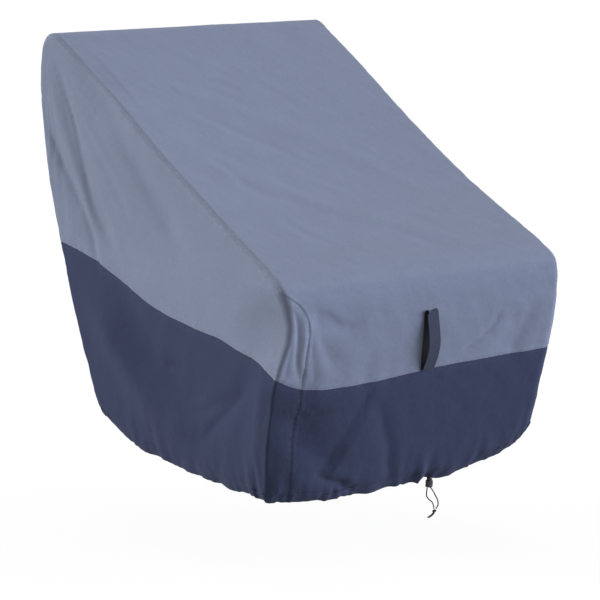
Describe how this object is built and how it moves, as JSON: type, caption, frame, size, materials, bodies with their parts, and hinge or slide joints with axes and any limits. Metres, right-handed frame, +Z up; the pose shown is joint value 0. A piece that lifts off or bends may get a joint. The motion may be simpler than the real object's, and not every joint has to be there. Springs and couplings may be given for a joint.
{
  "type": "patio chair cover",
  "caption": "Fitted two-tone cloth cover for a high-back patio chair: straight back, sloping top, upright front, webbing pull handle and a drawcord hem with a cord lock.",
  "frame": {"origin": "the point just under the ridge at which the top of the chair's back carries the cover", "axes": "+X to the right seen from the front, +Y to the rear, +Z up"},
  "size_m": [0.7354, 0.9164, 0.9845],
  "materials": {
    "cloth_light": "matt coated polyester, slate blue",
    "cloth_dark": "matt coated polyester, navy",
    "webbing": "ribbed webbing, dark slate",
    "lock_plastic": "satin black",
    "cord": "round braided cord, black"
  },
  "bodies": {
    "root": {"top_panel": "cloth_light", "side_upper_left": "cloth_light", "side_upper_right": "cloth_light", "side_lower_left": "cloth_dark", "side_lower_right": "cloth_dark", "front_lower": "cloth_dark", "back_lower": "cloth_dark", "handle_strap": "webbing", "cord_lock": "lock_plastic", "drawcord_left": "cord", "drawcord_right": "cord", "cord_knot": "cord"}
  },
  "joints": []
}
